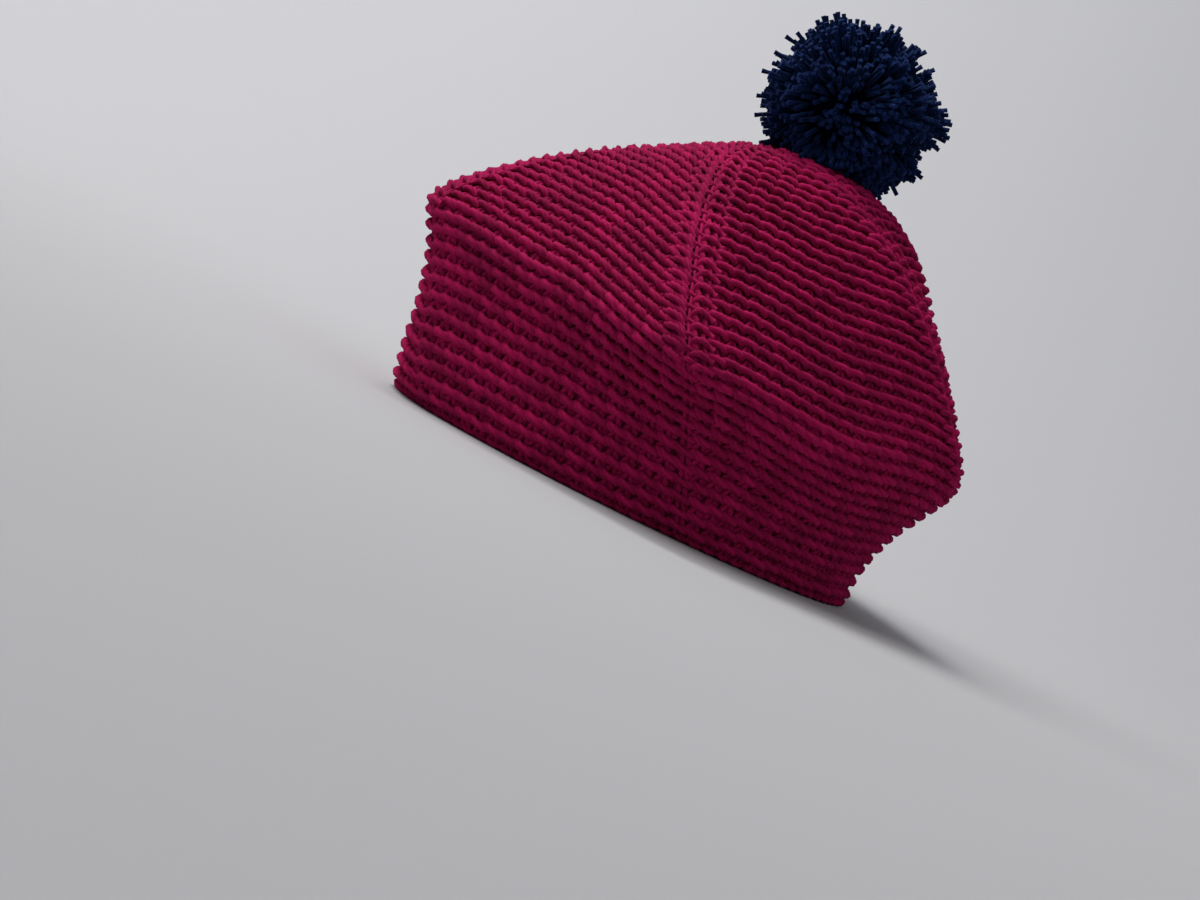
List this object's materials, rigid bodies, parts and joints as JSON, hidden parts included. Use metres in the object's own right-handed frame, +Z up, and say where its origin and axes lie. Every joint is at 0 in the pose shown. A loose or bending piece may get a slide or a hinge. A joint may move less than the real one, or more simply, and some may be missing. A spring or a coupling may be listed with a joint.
{
  "type": "crocheted beret with a pompom",
  "caption": "Thick crocheted beret: swirling wedge-shaped crown with a cornered fold, ribbed band that turns in to the rim, and a yarn pompom tied on at the crown's centre.",
  "frame": {"origin": "centre of the rim's opening, on the surface that the hat rests on", "axes": "+Z up out of the crown, -X towards the wearer's forehead, +X towards the back of the head, +Y towards the side away from the picture's camera"},
  "size_m": [0.2259, 0.2169, 0.2086],
  "materials": {
    "beret_wool": "plied raspberry wool yarn, matt and slightly fuzzy, crocheted so that each round shows a ridge",
    "pompom_wool": "cut ends of plied navy wool yarn, soft sheen, packed in a dense ball",
    "tie_wool": "knotted strands of the pompom's navy wool yarn"
  },
  "bodies": {
    "root": {"beret": "beret_wool", "pompom": "pompom_wool", "pompom_tie": "tie_wool"}
  },
  "joints": []
}
